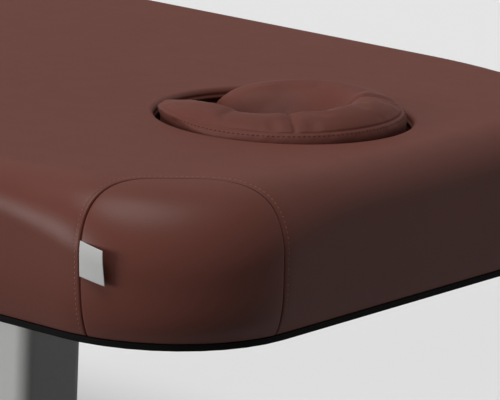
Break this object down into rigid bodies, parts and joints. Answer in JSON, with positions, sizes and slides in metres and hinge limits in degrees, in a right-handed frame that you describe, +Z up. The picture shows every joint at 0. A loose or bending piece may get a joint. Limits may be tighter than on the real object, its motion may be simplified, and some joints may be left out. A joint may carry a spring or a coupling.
{
  "type": "massage table",
  "caption": "Electric lift massage table: thick brown upholstered mattress with a round face opening and horseshoe face cushion, on a black board, steel frame and twin lifting columns.",
  "frame": {"origin": "on the floor under the middle of the table", "axes": "+X towards the head end with the face opening, +Z up, -Y is the near long side in the picture"},
  "size_m": [2, 0.8065, 0.6511],
  "materials": {
    "vinyl": "satin",
    "foam": "matte",
    "tag_cloth": "matte",
    "black_laminate": "satin",
    "frame_paint": "satin",
    "column_paint": "satin",
    "inner_tube": "satin",
    "steel": "satin",
    "chrome": "polished",
    "brass": "satin",
    "black_plastic": "matte",
    "pale_plastic": "matte"
  },
  "bodies": {
    "base": {"base_spine": "frame_paint", "cross_foot_head": "frame_paint", "cross_foot_foot": "frame_paint", "cross_foot_plug_head_near": "black_plastic", "cross_foot_plug_head_far": "black_plastic", "cross_foot_plug_foot_near": "black_plastic", "cross_foot_plug_foot_far": "black_plastic", "column_foot_plate_head": "frame_paint", "column_foot_plate_foot": "frame_paint", "column_outer_head": "column_paint", "column_outer_foot": "column_paint", "column_collar_head": "black_plastic", "column_collar_foot": "black_plastic", "guide_sleeve_head": "pale_plastic", "guide_sleeve_foot": "pale_plastic", "lift_motor_head": "black_plastic", "lift_motor_foot": "black_plastic", "pivot_bracket_near_head": "frame_paint", "pivot_bracket_near_foot": "frame_paint", "pivot_bracket_far_head": "frame_paint", "pivot_bracket_far_foot": "frame_paint", "foot_switch_near": "black_plastic", "foot_switch_far": "black_plastic"},
    "top": {"column_inner_head": "inner_tube", "column_inner_foot": "inner_tube", "guide_slider_head": "pale_plastic", "guide_slider_foot": "pale_plastic", "nut_plate_head": "steel", "nut_plate_foot": "steel", "drive_nut_head": "brass", "drive_nut_foot": "brass", "column_top_plate_head": "frame_paint", "column_top_plate_foot": "frame_paint", "frame_rail_near": "frame_paint", "frame_rail_far": "frame_paint", "rail_plug_near_head": "black_plastic", "rail_plug_near_foot": "black_plastic", "rail_plug_far_head": "black_plastic", "rail_plug_far_foot": "black_plastic", "cross_member_head": "frame_paint", "cross_member_middle": "frame_paint", "cross_member_foot": "frame_paint", "control_lid": "frame_paint", "control_box": "black_plastic", "mains_inlet": "black_plastic", "base_board": "black_laminate", "mattress_foam": "foam", "mattress_cover": "vinyl", "corner_tag": "tag_cloth"},
    "spindle_head": {"lift_spindle_head": "steel"},
    "spindle_foot": {"lift_spindle_foot": "steel"},
    "foot_bar_near": {"foot_bar_near": "chrome"},
    "foot_bar_far": {"foot_bar_far": "chrome"},
    "leveller_head_near": {"levelling_foot_head_near": "black_plastic"},
    "leveller_head_far": {"levelling_foot_head_far": "black_plastic"},
    "leveller_foot_near": {"levelling_foot_foot_near": "black_plastic"},
    "leveller_foot_far": {"levelling_foot_foot_far": "black_plastic"},
    "face_cushion": {"face_cushion": "vinyl", "face_cushion_board": "black_laminate"}
  },
  "joints": [
    {"name": "lift", "type": "slide", "parent": "base", "child": "top", "axis": [0, 0, 1], "range_m": [0, 0.24]},
    {"name": "spindle_head_turn", "type": "hinge", "parent": "base", "child": "spindle_head", "pos_m": [0.42, 0, 0.15], "axis": [0, 0, 1], "range_deg": [-1, 14401]},
    {"name": "spindle_foot_turn", "type": "hinge", "parent": "base", "child": "spindle_foot", "pos_m": [-0.42, 0, 0.15], "axis": [0, 0, 1], "range_deg": [-1, 14401]},
    {"name": "foot_bar_near_tilt", "type": "hinge", "parent": "base", "child": "foot_bar_near", "pos_m": [0, -0.07, 0.045], "axis": [1, 0, 0], "range_deg": [-5, 5], "stiffness_Nm_per_rad": 60, "springref_deg": -0.74},
    {"name": "foot_bar_far_tilt", "type": "hinge", "parent": "base", "child": "foot_bar_far", "pos_m": [0, 0.07, 0.045], "axis": [1, 0, 0], "range_deg": [-5, 5], "stiffness_Nm_per_rad": 60, "springref_deg": 0.74},
    {"name": "leveller_head_near_turn", "type": "hinge", "parent": "base", "child": "leveller_head_near", "pos_m": [0.42, -0.27, 0], "axis": [0, 0, 1], "continuous": true},
    {"name": "leveller_head_far_turn", "type": "hinge", "parent": "base", "child": "leveller_head_far", "pos_m": [0.42, 0.27, 0], "axis": [0, 0, 1], "continuous": true},
    {"name": "leveller_foot_near_turn", "type": "hinge", "parent": "base", "child": "leveller_foot_near", "pos_m": [-0.42, -0.27, 0], "axis": [0, 0, 1], "continuous": true},
    {"name": "leveller_foot_far_turn", "type": "hinge", "parent": "base", "child": "leveller_foot_far", "pos_m": [-0.42, 0.27, 0], "axis": [0, 0, 1], "continuous": true},
    {"name": "face_cushion_lift_out", "type": "slide", "parent": "top", "child": "face_cushion", "axis": [0, 0, 1], "range_m": [0, 0.12]}
  ],
  "couplings": [
    {"joint": "spindle_head_turn", "follows": "lift", "rad_per_m": 1047.2},
    {"joint": "spindle_foot_turn", "follows": "lift", "rad_per_m": 1047.2}
  ]
}
